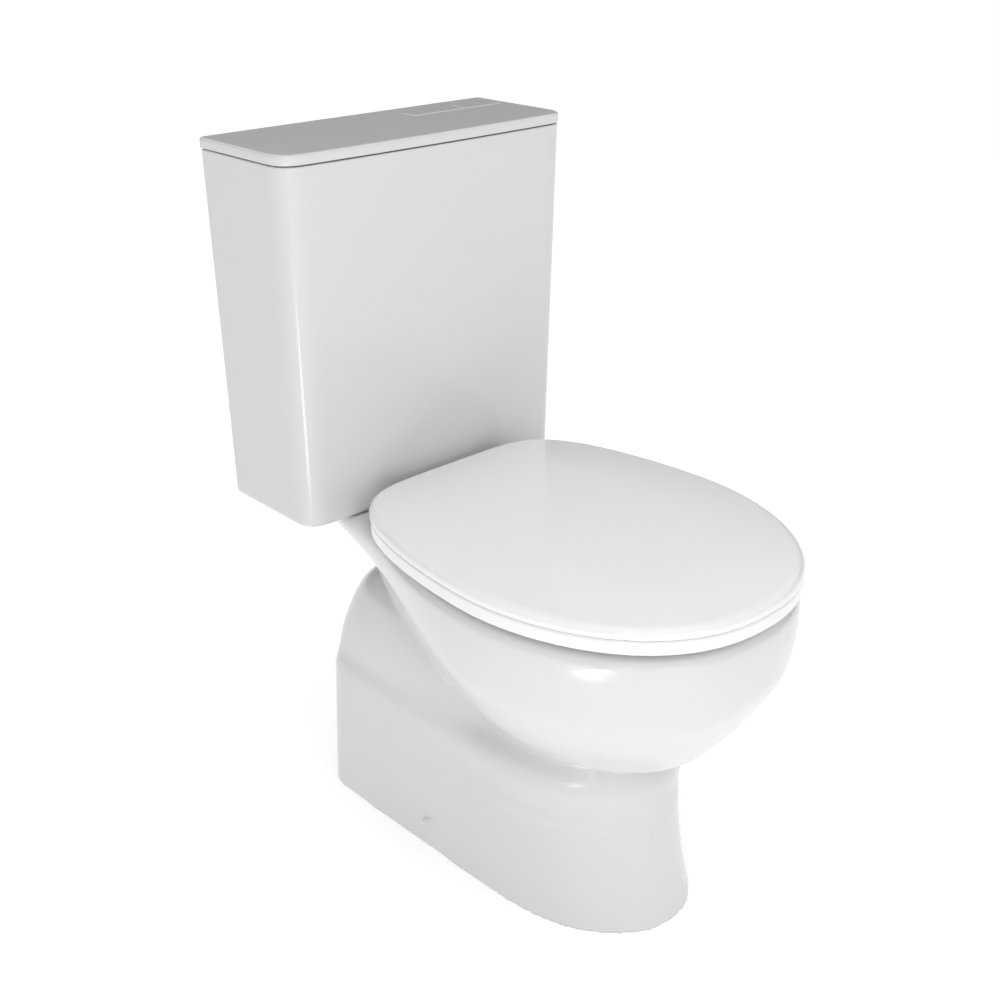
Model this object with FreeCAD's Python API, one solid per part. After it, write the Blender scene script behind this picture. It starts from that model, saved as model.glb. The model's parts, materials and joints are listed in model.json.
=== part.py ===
import FreeCAD
import Part
import math
import os

# Close coupled toilet, in millimetres. The seat faces -Y, the wall side is +Y and +Z is up.
# Depths (d) are measured forwards from the wall side of the cistern.

# overall
DEPTH = 614.0
WALL_Y = DEPTH / 2
LID_TOP = 804.0
RIM_Z = 400.0

# cistern
TANK_TOP = 792.0
TANK_WALL = 4.0
TANK_FLOOR = 6.0
LID_WIDTH = 387.6
LID_DEPTH = 149.5
LID_BOW = 3.5
LID_BOTTOM = 793.5

# seat and cover
SEAT_FRONT = 614.0
SEAT_BACK = 158.0
SEAT_WIDEST = 394.0
SEAT_HALF = 186.0
SEAT_BOTTOM = 407.0
SEAT_TOP = 423.0
HINGE_D = 180.0
HINGE_Z = 426.0
HINGE_X = 77.5
HINGE_POST_D = 184.0

# trap and outlet
TRAP_R = 41.0
PIPE_R = 51.0
OUTLET_D = 135.0
PIPE_STRAIGHT = 80.0
TRAP_SLOPE = 20.0
TRAP_CLIMB = 56.8
SUMP_BEND = 60.0
WEIR_BEND = 58.0
WEIR_Z = 165.0

# foot of the pan, and the heights between its foot, its bowl and its rim
FOOT_FRONT = 524.5
FOOT_HALF = 120.5
FOOT_BACK = 40.0
FOOT_TOP = 189.0
BOWL_TOP = 347.0

# cistern fixings and valves
BOLT_X = 75.0
BOLT_D = 66.0
VALVE_D = 70.0
FILL_X = 140.0
FILL_D = 68.0

# flush levers: each pivots between its push rod on one side and the part that it lifts on the other
FULL_D = 35.0
HALF_D = 47.5
FULL_ROD_X = 95.0
HALF_ROD_X = 155.0
FULL_PIVOT_X = 65.0
HALF_PIVOT_X = 100.0
FULL_LEVER_Z = 745.0
HALF_LEVER_Z = 713.0
LEVER_THICK = 5.0
PUSH_ROD_R = 2.5
LEVER_GAP = 0.3

# fill valve float
INLET_R = 10.48
FLOAT_PIVOT_X = 128.0
FLOAT_PIVOT_Z = 716.0
FLOAT_ROD_X = 163.0
FLOAT_DROP = 18.58

# clearance of a running shaft in its hole, on the radius
RUNNING = 0.06


def at(x, d, z):
    return FreeCAD.Vector(x, WALL_Y - d, z)


def box(x0, x1, d0, d1, z0, z1):
    return Part.makeBox(x1 - x0, d1 - d0, z1 - z0, at(x0, d1, z0))


def rod(x, d, z, r, height):
    return Part.makeCylinder(r, height, at(x, d, z))


def ring(x, d, z, inner, outer, height):
    return rod(x, d, z, outer, height).cut(rod(x, d, z, inner, height))


def rod_x(x, d, z, r, length):
    return Part.makeCylinder(r, length, at(x, d, z), FreeCAD.Vector(1, 0, 0))


def rod_forward(x, d, z, r, length):
    return Part.makeCylinder(r, length, at(x, d, z), FreeCAD.Vector(0, -1, 0))


def hexagon(x, d, z, across, height):
    corners = []
    for i in range(7):
        turn = math.radians(60 * i)
        r = across / math.sqrt(3)
        corners.append(at(x + r * math.cos(turn), d + r * math.sin(turn), z))
    return Part.Face(Part.makePolygon(corners)).extrude(FreeCAD.Vector(0, 0, height))


def smooth_wire(points):
    curve = Part.BSplineCurve()
    curve.interpolate(Points=points, PeriodicFlag=True)
    return Part.Wire(curve.toShape())


def loft(wires, ruled=False):
    return Part.makeLoft(wires, True, ruled)


def fuse(first, *others):
    return first.multiFuse(list(others))


def mirrored(shape):
    other = shape.mirror(FreeCAD.Vector(0, 0, 0), FreeCAD.Vector(1, 0, 0))
    return Part.Compound([shape, other])


def bend(points, radius):
    """A round bar or passage along a smooth curve."""
    curve = Part.BSplineCurve()
    curve.interpolate(points)
    spine = Part.Wire(curve.toShape())
    start = curve.tangent(curve.FirstParameter)[0]
    profile = Part.Wire(Part.makeCircle(radius, points[0], start))
    return spine.makePipeShell([profile], True, False)


def quarter(length, width, power_x, power_d, steps):
    """A quarter of a superellipse as (along, across) pairs, from the tip to the widest place."""
    pairs = []
    for i in range(steps):
        turn = math.pi / 2 * i / steps
        along = length * math.cos(turn) ** (2 / power_d)
        across = width * math.sin(turn) ** (2 / power_x)
        pairs.append((along, across))
    return pairs


def closed_outline(half, z):
    """A wire through half an outline, given as (d, x) from the front tip to the back tip."""
    right = [at(x, d, z) for d, x in half]
    left = [at(-x, d, z) for d, x in reversed(half[1:-1])]
    return smooth_wire(right + left)


def oval(z, front, back, widest, width, front_powers=(2.26, 1.94), back_powers=(2.3, 2.0)):
    """A smooth egg shape: the front and back halves are superellipses."""
    half = []
    for along, across in quarter(front - widest, width, front_powers[0], front_powers[1], 7):
        half.append((widest + along, across))
    half.append((widest, width))
    rear = quarter(widest - back, width, back_powers[0], back_powers[1], 7)
    for along, across in reversed(rear):
        half.append((widest - along, across))
    return closed_outline(half, z)


# ---------------------------------------------------------------- pan

# bowl and deck, from under the bowl up to the rim: height, front, half width at the widest
# place, then the outline behind it as (d, half width) pairs and the back end
HULL = [
    (199.0, 488.0, 86.0, [(355, 82), (325, 68), (305, 46)], 296.0),
    (204.0, 511.0, 97.0, [(350, 91), (318, 75), (292, 50)], 282.0),
    (212.0, 533.0, 106.0, [(345, 101), (305, 86), (275, 57)], 262.0),
    (235.0, 551.0, 124.0, [(340, 117), (272, 99), (232, 64)], 214.0),
    (260.0, 570.0, 143.0, [(330, 132), (240, 100), (190, 63)], 168.0),
    (290.0, 588.6, 161.6, [(310, 142), (205, 101), (135, 70)], 96.0),
    (320.0, 604.5, 177.5, [(300, 156), (180, 105), (114, 80)], 56.0),
    (350.0, 610.7, 183.7, [(290, 165), (175, 120), (98, 94)], 28.0),
    (375.0, 612.3, 185.3, [(285, 169), (175, 135), (86, 110)], 18.0),
    (388.0, 611.5, 184.6, [(280, 169), (175, 138), (80, 116)], 16.0),
    (400.0, 610.0, 183.0, [(280, 168), (175, 137), (80, 115)], 16.0),
]


def hull_outline(section):
    z, front, width, rear, back = section
    half = []
    for along, across in quarter(front - 392, width, 2.26, 1.94, 7):
        half.append((392 + along, across))
    half.append((392.0, width))
    half.extend(rear)
    half.append((back + 4, rear[-1][1] * 0.55))
    half.append((back, 0.0))
    return closed_outline(half, z)


def foot_outline(z, inset, front):
    """Nearly straight sides that close in towards the front, a round front end and full rear corners."""
    half = [(front - inset, 0.0)]
    for d, share in ((519, 0.26), (500, 0.485), (470, 0.70), (430, 0.845), (365, 0.93)):
        half.append((front - FOOT_FRONT + d - inset * (d - 365) / 160, share * FOOT_HALF - inset))
    for d, share in ((283, 0.947), (200, 0.961), (140, 0.971)):
        half.append((d, share * FOOT_HALF - inset))
    reach = 100.0 - FOOT_BACK - inset
    side = 0.975 * FOOT_HALF - inset
    for degrees in (5, 25, 42, 56, 70, 80):
        turn = math.radians(degrees)
        half.append((100.0 - reach * math.sin(turn) ** 0.62, side * math.cos(turn) ** 0.46))
    half.append((FOOT_BACK + inset, 0.0))
    return closed_outline(half, z)


def bowl_loft(sections):
    wires = []
    for z, front, back, widest, width in sections:
        wires.append(oval(z, front, back, widest, width))
    return loft(wires)


def bowl_space():
    """The hollow of the bowl, from the sump to the underside of the rim."""
    lower = bowl_loft([
        (52.0, 436.0, 365.0, 400.0, 34.0),
        (58.0, 446.0, 352.0, 400.0, 46.0),
        (93.0, 458.0, 344.0, 400.0, 54.0),
        (134.0, 468.0, 332.0, 400.0, 62.0),
        (175.0, 477.0, 314.0, 400.0, 74.0),
        (201.0, 488.0, 303.0, 399.0, 83.0),
    ])
    upper = bowl_loft([
        (201.0, 488.0, 303.0, 399.0, 83.0),
        (225.0, 525.0, 288.0, 398.0, 103.0),
        (260.0, 557.0, 266.0, 396.0, 129.0),
        (320.0, 591.0, 241.0, 394.0, 162.0),
        (386.0, 597.0, 232.0, 394.0, 168.0),
    ])
    return fuse(lower, upper)


def bowl_wall():
    """The outside of the bowl's wall where it runs on inside the foot."""
    return bowl_loft([
        (42.0, 448.0, 352.0, 400.0, 44.0),
        (52.0, 460.0, 340.0, 400.0, 57.0),
        (134.0, 481.0, 321.0, 400.0, 73.0),
        (180.0, 486.0, 305.0, 400.0, 84.0),
        (199.0, 487.0, 296.0, 399.0, 90.0),
        (222.0, 518.0, 280.0, 398.0, 100.0),
        (250.0, 530.0, 262.0, 390.0, 110.0),
        (280.0, 530.0, 246.0, 385.0, 110.0),
    ])


def on_arc(centre, r, degrees):
    turn = math.radians(degrees)
    return at(0, centre[0] + r * math.cos(turn), centre[1] + r * math.sin(turn))


def trap_sweep(radius):
    """A round passage that leaves the sump level, climbs over the weir and drops to the outlet."""
    slope = math.radians(TRAP_SLOPE)
    top = (OUTLET_D + WEIR_BEND, WEIR_Z)
    reach = WEIR_BEND + SUMP_BEND
    low_d = top[0] + reach * math.cos(slope) + TRAP_CLIMB * math.sin(slope)
    low_z = top[1] + reach * math.sin(slope) - TRAP_CLIMB * math.cos(slope)
    low = (low_d, low_z)
    start = at(0, 402, low_z - SUMP_BEND)
    turn = 180 + TRAP_SLOPE
    spine = Part.Wire([
        Part.makeLine(start, on_arc(low, SUMP_BEND, 270)),
        Part.Arc(
            on_arc(low, SUMP_BEND, 270), on_arc(low, SUMP_BEND, (270 + turn) / 2), on_arc(low, SUMP_BEND, turn)
        ).toShape(),
        Part.makeLine(on_arc(low, SUMP_BEND, turn), on_arc(top, WEIR_BEND, TRAP_SLOPE)),
        Part.Arc(
            on_arc(top, WEIR_BEND, TRAP_SLOPE), on_arc(top, WEIR_BEND, 90), on_arc(top, WEIR_BEND, 180)
        ).toShape(),
        Part.makeLine(on_arc(top, WEIR_BEND, 180), at(0, OUTLET_D, PIPE_STRAIGHT - 4)),
    ])
    profile = Part.Wire(Part.makeCircle(radius, start, FreeCAD.Vector(0, 1, 0)))
    return spine.makePipeShell([profile], True, False)


def foot_shape():
    """The foot, the neck above it under the bowl and the hump over the trap."""
    foot = loft([
        foot_outline(0.0, 0.0, 525.0),
        foot_outline(20.0, 0.8, 519.5),
        foot_outline(45.0, 1.5, 514.5),
        foot_outline(90.0, 3.2, 509.5),
        foot_outline(130.0, 5.2, 507.0),
        foot_outline(160.0, 7.2, 505.0),
        foot_outline(176.0, 12.0, 504.0),
    ])
    neck = loft([
        oval(140.0, 480.0, 120.0, 372.0, 88.0, (2.3, 2.1), (3.2, 2.6)),
        oval(178.0, 491.0, 125.0, 372.0, 101.0, (2.3, 2.1), (3.2, 2.6)),
        oval(196.0, 491.0, 130.0, 372.0, 98.0, (2.3, 2.1), (3.2, 2.6)),
        oval(212.0, 484.0, 140.0, 372.0, 90.0, (2.3, 2.1), (3.0, 2.4)),
    ])
    hump = loft([
        oval(120.0, 380.0, 42.0, 210.0, 105.0, (2.6, 2.2), (4.5, 4.5)),
        oval(180.0, 380.0, 42.0, 210.0, 105.0, (2.6, 2.2), (4.5, 4.5)),
        oval(214.0, 372.0, 43.0, 206.0, 103.5, (2.6, 2.2), (4.2, 4.2)),
        oval(242.0, 352.0, 47.0, 200.0, 100.0, (2.6, 2.2), (3.8, 3.8)),
        oval(266.0, 320.0, 55.0, 190.0, 93.0, (2.4, 2.2), (3.4, 3.4)),
        oval(288.0, 290.0, 73.0, 182.0, 79.0, (2.4, 2.2), (3.0, 3.0)),
        oval(302.0, 262.0, 96.0, 178.0, 58.0, (2.2, 2.2), (2.6, 2.6)),
    ])
    return fuse(foot, neck, hump)


def hollow_space():
    """The open space inside the foot, round the trap and under the deck."""
    foot_space = loft([
        foot_outline(-5.0, 11.0, 525.0),
        foot_outline(20.0, 12.0, 518.5),
        foot_outline(60.0, 13.5, 511.0),
        foot_outline(120.0, 16.0, 506.0),
        foot_outline(164.0, 21.0, 500.0),
    ])
    trap_space = loft([
        oval(150.0, 330.0, 56.0, 200.0, 91.0, (2.6, 2.2), (3.6, 3.6)),
        oval(214.0, 300.0, 57.0, 196.0, 90.0, (2.6, 2.2), (3.6, 3.6)),
        oval(260.0, 260.0, 68.0, 180.0, 80.0, (2.4, 2.2), (3.2, 3.2)),
        oval(288.0, 226.0, 92.0, 160.0, 56.0, (2.2, 2.2), (2.6, 2.6)),
    ])
    deck_space = loft([
        oval(270.0, 216.0, 100.0, 158.0, 50.0),
        oval(320.0, 222.0, 104.0, 165.0, 60.0),
        oval(350.0, 222.0, 108.0, 165.0, 80.0),
        oval(386.0, 222.0, 108.0, 165.0, 104.0),
    ])
    return fuse(foot_space, trap_space, deck_space)


def pan():
    hull = loft([hull_outline(section) for section in HULL])
    body = fuse(hull, foot_shape()).cut(hollow_space())

    pipe = fuse(trap_sweep(PIPE_R - 1.5), rod(0, OUTLET_D, 0, PIPE_R, PIPE_STRAIGHT))
    passage = fuse(trap_sweep(TRAP_R - 0.5), rod(0, OUTLET_D, -1, TRAP_R, PIPE_STRAIGHT))

    # the rim turns in and down over the bowl, and water runs round inside it
    opening = loft([
        oval(345.0, 566.0, 258.0, 410.0, 125.0),
        oval(402.0, 566.0, 258.0, 410.0, 125.0),
    ])
    lip = loft([
        oval(354.0, 576.0, 248.0, 410.0, 135.0),
        oval(388.0, 576.0, 248.0, 410.0, 135.0),
    ])
    duct_wall = rod_forward(0, 70, 368, 26, 190)
    duct = rod_forward(0, 62, 368, 16, 200)
    inlet_wall = rod(0, VALVE_D, 342, 54, 58)
    inlet_top = rod(0, VALVE_D, 374, 44, 30)
    inlet = rod(0, VALVE_D, 352, 28, 50)

    body = fuse(body, bowl_wall().cut(opening), pipe, duct_wall)
    body = fuse(body, inlet_wall.common(hull))
    body = body.cut(bowl_space().cut(lip))
    body = body.cut(passage)
    body = body.cut(opening)
    body = body.cut(fuse(duct, inlet_top, inlet))

    for side in (-1, 1):
        body = body.cut(rod(side * BOLT_X, BOLT_D, 330, 5.5, 80))
        body = body.cut(rod(side * BOLT_X, BOLT_D, 320, 17, 62))
        body = body.cut(rod(side * HINGE_X, HINGE_POST_D, 380, 7.0, 30))
        body = body.cut(rod_x(side * 112 - 20, 244, 36, 3.0, 40))

    # one casting, given as three solids that meet face to face: foot, bowl and rim
    layers = []
    for low, high in ((-10, FOOT_TOP), (FOOT_TOP, BOWL_TOP), (BOWL_TOP, RIM_Z + 10)):
        layers.append(body.common(box(-250, 250, -50, 700, low, high)))
    return Part.Compound(layers)


def base_fixings():
    """Angle brackets inside the foot and the screws that come in through its sides."""
    bracket = fuse(box(96, 99, 229, 259, 0.5, 52), box(60, 99, 229, 259, 0.5, 3.5))
    bracket = bracket.cut(rod_x(90, 244, 36, 3.0, 20))
    bracket = bracket.cut(rod(78, 244, 0, 3.5, 5))
    screw = fuse(rod_x(90, 244, 36, 2.5, 32), rod_x(117.0, 244, 36, 3.4, 3.0))
    return {"floor_brackets": mirrored(bracket), "side_screws": mirrored(screw)}


# ---------------------------------------------------------------- cistern


def cistern_wire(z, width, depth, bow, front_r, back_r, back=0.0):
    """Flat back, straight sides, rounded front corners and a slightly bowed front."""
    half = width / 2
    fr = front_r * math.sqrt(0.5)
    br = back_r * math.sqrt(0.5)
    b = at(-half + back_r, back, z)
    c = at(half - back_r, back, z)
    d = at(half, back + back_r, z)
    e = at(half, depth - front_r, z)
    f = at(half - front_r, depth, z)
    g = at(-half + front_r, depth, z)
    h = at(-half, depth - front_r, z)
    i = at(-half, back + back_r, z)
    edges = [
        Part.makeLine(b, c),
        Part.Arc(c, at(half - back_r + br, back + back_r - br, z), d).toShape(),
        Part.makeLine(d, e),
        Part.Arc(e, at(half - front_r + fr, depth - front_r + fr, z), f).toShape(),
        Part.Arc(f, at(0, depth + bow, z), g).toShape(),
        Part.Arc(g, at(-half + front_r - fr, depth - front_r + fr, z), h).toShape(),
        Part.makeLine(h, i),
        Part.Arc(i, at(-half + back_r - br, back + back_r - br, z), b).toShape(),
    ]
    return Part.Wire(edges)


def cistern_tank():
    floor = RIM_Z + TANK_FLOOR
    wall = TANK_WALL

    def outer(z, inset=0.0, back=0.0):
        share = (z - RIM_Z) / (TANK_TOP - RIM_Z)
        width = 371.0 + 14.5 * share - 2 * inset
        depth = 144.0 + 5.0 * share - inset
        return cistern_wire(z, width, depth, 3.0 + share, 24.0 - inset * 0.9, 8.0, back)

    low = loft([outer(RIM_Z, 7.0, 2.0), outer(RIM_Z + 2.5, 3.2, 0.8), outer(RIM_Z + 9.0, 0.0)], True)
    shell = fuse(low, loft([outer(RIM_Z + 9.0), outer(TANK_TOP - 1.5)], True))
    shell = fuse(shell, loft([outer(TANK_TOP - 1.5), outer(TANK_TOP, 1.2, 0.6)], True))
    space = loft([outer(floor, wall + 3.0, wall + 2.0), outer(floor + 8, wall, wall)], True)
    space = fuse(space, loft([outer(floor + 8, wall, wall), outer(TANK_TOP + 1, wall, wall)], True))
    tank = shell.cut(space)
    tank = tank.cut(rod(0, VALVE_D, 395, 32.5, 20))
    tank = tank.cut(rod(FILL_X, FILL_D, 395, 11.0, 20))
    for side in (-1, 1):
        tank = tank.cut(rod(side * BOLT_X, BOLT_D, 395, 4.5, 20))
        tank = tank.cut(rod_forward(side * 130, -5, 740, 3.5, 15))
    return tank


def cistern_lid():
    def outer(z, inset=0.0):
        width = LID_WIDTH - 2 * inset
        return cistern_wire(z, width, LID_DEPTH - inset, LID_BOW, 25.0 - inset, max(7.0 - inset, 1.5), inset)

    lid = loft([outer(LID_BOTTOM, 0.6), outer(LID_BOTTOM + 1), outer(LID_TOP - 2.2)], True)
    lid = fuse(lid, loft([outer(LID_TOP - 2.2), outer(LID_TOP - 0.7, 0.7), outer(LID_TOP, 2.2)], True))
    lid = lid.cut(loft([outer(LID_BOTTOM - 1, 7.0), outer(LID_TOP - 3.5, 7.0)], True))
    flange = loft([outer(776.0, 7.0), outer(LID_TOP - 3.5, 7.0)], True)
    flange = flange.cut(loft([outer(775.0, 9.2), outer(LID_TOP - 3.0, 9.2)], True))
    lid = fuse(lid, flange)
    for side in (-1, 1):
        for d in (30.0, 104.0):
            x0, x1 = sorted((side * 185.9, side * 190.0))
            lid = fuse(lid, box(x0, x1, d, d + 10, TANK_TOP, LID_BOTTOM + 1))
    lid = lid.cut(box(180.0, 187.0, 22.0, 60.0, 770.0, LID_TOP - 3.5))
    return lid.cut(button_outline(50.0, 184.0, 26.5, 55.5, 2.5, LID_TOP - 8, 20))


def button_outline(x0, x1, d0, d1, r, z, height):
    block = box(x0, x1, d0, d1, z, z + height)
    upright = [e for e in block.Edges if abs(e.tangentAt(e.FirstParameter).z) > 0.9]
    return block.makeFillet(r, upright)


def button_frame():
    """The bezel let into the lid, with a tray below it that guides both push rods."""
    frame = button_outline(50.0, 184.0, 26.5, 55.5, 2.5, 768.0, 36.0)
    frame = frame.cut(button_outline(51.6, 182.4, 28.1, 53.9, 1.4, 771.0, 40.0))
    ledge = button_outline(46.0, 185.4, 22.5, 59.5, 3.0, 797.5, 3.0)
    ledge = ledge.cut(button_outline(51.6, 182.4, 28.1, 53.9, 1.4, 790.0, 20.0))
    frame = fuse(frame, ledge, box(126.6, 127.4, 28, 54, 771, 790))
    for x, d in ((FULL_ROD_X, FULL_D), (HALF_ROD_X, HALF_D)):
        frame = frame.cut(rod(x, d, 760, PUSH_ROD_R + RUNNING, 20))
    return frame


def button(x0, x1, rod_x_place, rod_d, rod_end):
    cap = button_outline(x0, x1, 28.5, 53.5, 1.2, 792.0, 12.4)
    cap = cap.cut(button_outline(x0 + 1.5, x1 - 1.5, 30.0, 52.0, 0.8, 785.0, 16.4))
    top = [e for e in cap.Edges if min(v.Z for v in e.Vertexes) > 804.3]
    cap = cap.makeChamfer(0.4, top)
    return fuse(cap, rod(rod_x_place, rod_d, rod_end, PUSH_ROD_R, 802.0 - rod_end))


def coil(x, d, z, height, r, wire_r, turns):
    """A spring of round wire."""
    points = []
    for i in range(16 * turns + 1):
        turn = math.pi * i / 8
        points.append(FreeCAD.Vector(r * math.cos(turn), r * math.sin(turn), height * i / (16 * turns)))
    curve = Part.BSplineCurve()
    curve.interpolate(points)
    start = curve.tangent(curve.FirstParameter)[0]
    circle = Part.Wire(Part.makeCircle(wire_r, points[0], start))
    spring = Part.Wire(curve.toShape()).makePipeShell([circle], True, True)
    return spring.translated(at(x, d, z))


def buttons():
    full_low = FULL_LEVER_Z + LEVER_THICK + LEVER_GAP
    half_low = HALF_LEVER_Z + LEVER_THICK + LEVER_GAP
    return {
        "full_button": button(52.1, 126.2, FULL_ROD_X, FULL_D, full_low),
        "half_button": button(127.8, 181.9, HALF_ROD_X, HALF_D, half_low),
        "full_spring": coil(FULL_ROD_X, FULL_D, 771.7, 28.5, 3.4, 0.55, 7),
        "half_spring": coil(HALF_ROD_X, HALF_D, 771.7, 28.5, 3.4, 0.55, 7),
    }


# ---------------------------------------------------------------- flushing parts


def flush_valve():
    base = fuse(ring(0, VALVE_D, 376, 26, 32, 30), ring(0, VALVE_D, 406, 26, 44, 5))
    base = fuse(base, ring(0, VALVE_D, 411, 26, 29, 5))
    nut = hexagon(0, VALVE_D, 391.5, 76, 8.0).cut(rod(0, VALVE_D, 380, 32.0, 30))
    washer = ring(0, VALVE_D, 374.5, 32.4, 42.5, 16.0)
    edges = [e for e in washer.Edges if e.Curve.TypeId == "Part::GeomCircle"]
    washer = washer.makeFillet(3.0, [e for e in edges if abs(e.Curve.Radius - 42.5) < 0.1])

    cage = fuse(ring(0, VALVE_D, 411, 34, 37, 276), ring(0, VALVE_D, 411, 34, 44, 4))
    for turn in (0, 90):
        window = box(-50, 50, VALVE_D - 13, VALVE_D + 13, 418, 470)
        window.rotate(at(0, VALVE_D, 0), FreeCAD.Vector(0, 0, 1), turn + 45)
        cage = cage.cut(window)
        upper = box(-50, 50, VALVE_D - 9, VALVE_D + 9, 500, 650)
        upper.rotate(at(0, VALVE_D, 0), FreeCAD.Vector(0, 0, 1), turn)
        cage = cage.cut(upper)

    tube = ring(0, VALVE_D, 416, 11, 13, 346)
    tube = fuse(tube, ring(0, VALVE_D, 420.2, 12, 31, 3.0))
    low = FULL_LEVER_Z + LEVER_THICK + LEVER_GAP
    tab = box(3, 22, FULL_D - 4, VALVE_D - 10.5, low, low + 4)
    tube = fuse(tube, tab.cut(rod(0, VALVE_D, 700, 12, 100)))
    seal = ring(0, VALVE_D, 416.2, 20, 31, 4.0)

    collar = ring(0, VALVE_D, HALF_LEVER_Z, 13.4, 17.5, 10)
    low = HALF_LEVER_Z + LEVER_THICK + LEVER_GAP
    tab = box(12, 27, HALF_D - 4, VALVE_D - 6, low, low + 4)
    collar = fuse(collar, tab.cut(rod(0, VALVE_D, 700, 15, 100)))
    return {
        "valve_base": base,
        "valve_backnut": nut,
        "coupling_washer": washer,
        "valve_cage": cage,
        "flush_tube": tube,
        "valve_seal": seal,
        "half_flush_collar": collar,
    }


def lever_ears(x, d0, d1, pin_z):
    """Two ears that hold a pivot pin, one on each side of a lever."""
    ears = []
    for d in (d0, d1 - 3.5):
        ears.append(box(x - 6, x + 6, d, d + 3.5, 690, pin_z))
        ears.append(rod_forward(x, d, pin_z, 6, 3.5))
    return fuse(*ears).cut(rod_forward(x, d0 - 1, pin_z, 3.0, d1 - d0 + 2))


def lever(x0, x1, pivot_x, d, z):
    pin_z = z + LEVER_THICK / 2
    bar = fuse(box(x0, x1, d - 3, d + 3, z, z + LEVER_THICK), rod_forward(pivot_x, d - 3, pin_z, 6, 6))
    return bar.cut(rod_forward(pivot_x, d - 10, pin_z, 3.0 + RUNNING, 20))


def levers():
    full_pin = FULL_LEVER_Z + LEVER_THICK / 2
    half_pin = HALF_LEVER_Z + LEVER_THICK / 2
    bridge = fuse(box(20, 112, 26.5, 60, 687, 692), ring(0, VALVE_D, 687, 13.6, 40, 5))
    bridge = bridge.cut(rod(0, VALVE_D, 680, 13.6, 20))
    bridge = fuse(bridge, lever_ears(FULL_PIVOT_X, 26.5, 43.0, full_pin))
    bridge = fuse(bridge, lever_ears(HALF_PIVOT_X, 40.0, 57.0, half_pin))
    pins = Part.Compound([
        rod_forward(FULL_PIVOT_X, 26.0, full_pin, 3.0, 17.5),
        rod_forward(HALF_PIVOT_X, 39.5, half_pin, 3.0, 18.0),
    ])
    return {
        "lever_bridge": bridge,
        "full_lever": lever(12, 101, FULL_PIVOT_X, FULL_D, FULL_LEVER_Z),
        "half_lever": lever(19, 161, HALF_PIVOT_X, HALF_D, HALF_LEVER_Z),
        "lever_pins": pins,
    }


# ---------------------------------------------------------------- fill valve


def fill_valve():
    floor = RIM_Z + TANK_FLOOR
    x, d = FILL_X, FILL_D
    body = fuse(rod(x, d, 362, INLET_R, 29), rod(x, d, 391, INLET_R - 0.2, 18), rod(x, d, floor + 3, 17, 4))
    body = fuse(body, rod(x, d, floor + 7, 8, 277), rod(x, d, 560, 12, 5), rod(x, d, 684, 15, 6))
    body = body.cut(rod(x, d, 360, 6, 325))
    body = fuse(body, rod(x, d, 688, 12, 11), rod(x, d, 698, 3, 8))
    for side in (-1, 1):
        d0, d1 = sorted((d + side * 4.2, d + side * 8.0))
        body = fuse(body, box(118, 134, d0, d1, 690, 722))
    body = body.cut(rod_forward(FLOAT_PIVOT_X, 40, FLOAT_PIVOT_Z, 2.0, 60))
    outlet = fuse(rod(x - 5, d + 18, 684, 3.5, 12), box(x - 8, x - 2, d + 8, d + 20, 684, 690))
    return fuse(body, outlet)


def float_cup():
    x, d = FILL_X, FILL_D
    cup = ring(x, d, 566, 8.5, 27, 55).cut(ring(x, d, 560, 11, 25, 58))
    stem = rod(FLOAT_ROD_X, d, 618, 1.6, 95)
    low_stop = rod(FLOAT_ROD_X, d, 697.0, 3.2, 2)
    high_stop = rod(FLOAT_ROD_X, d, 709.5, 3.2, 2)
    return fuse(cup, stem, low_stop, high_stop)


def float_lever():
    """It hangs at the float's low place, and the float's stem runs through the slot at its end."""
    d = FILL_D
    arm = box(122, 172, d - 3.6, d + 3.6, FLOAT_PIVOT_Z - 2, FLOAT_PIVOT_Z + 2)
    arm = fuse(arm, rod_forward(FLOAT_PIVOT_X, d - 3.6, FLOAT_PIVOT_Z, 4.5, 7.2))
    arm = arm.cut(box(157, 169, d - 2.0, d + 2.0, 700, 730))
    arm = arm.cut(rod_forward(FLOAT_PIVOT_X, 40, FLOAT_PIVOT_Z, 2.0 + RUNNING, 60))
    arm.rotate(at(FLOAT_PIVOT_X, d, FLOAT_PIVOT_Z), FreeCAD.Vector(0, 1, 0), FLOAT_DROP)
    return arm


def fill_parts():
    x, d = FILL_X, FILL_D
    refill = bend([
        at(x - 5, d + 18, 696), at(x - 6, d + 19, 735), at(118, 88, 768),
        at(70, 92, 782), at(25, 84, 786), at(3, VALVE_D + 2, 782), at(0, VALVE_D, 776),
    ], 3.0)
    return {
        "fill_valve": fill_valve(),
        "fill_washer": ring(x, d, RIM_Z + TANK_FLOOR, 10.6, 17, 3),
        "fill_backnut": hexagon(x, d, 391.5, 30, 8.0).cut(rod(x, d, 380, INLET_R - 0.2, 30)),
        "float_cup": float_cup(),
        "float_lever": float_lever(),
        "float_pin": rod_forward(FLOAT_PIVOT_X, d - 8.5, FLOAT_PIVOT_Z, 2.0, 17),
        "refill_tube": refill,
    }


# ---------------------------------------------------------------- cistern bolts


def cistern_bolts():
    floor = RIM_Z + TANK_FLOOR
    x, d = BOLT_X, BOLT_D
    bolt = fuse(rod(x, d, 352, 4.0, floor + 3 - 352), hexagon(x, d, floor + 3, 13, 5))
    nut = rod(x, d, 371, 7, 7)
    for side in (-1, 1):
        wing = box(x + side * 11 - 5, x + side * 11 + 5, d - 1.2, d + 1.2, 366, 376)
        nut = fuse(nut, wing)
    nut = nut.cut(rod(x, d, 360, 4.0, 30))
    return {
        "cistern_bolts": mirrored(bolt),
        "bolt_seals": mirrored(ring(x, d, floor, 4.2, 11, 3)),
        "bolt_washers": mirrored(ring(x, d, 378.5, 4.3, 13, 3)),
        "wing_nuts": mirrored(nut),
    }


# ---------------------------------------------------------------- seat


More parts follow.
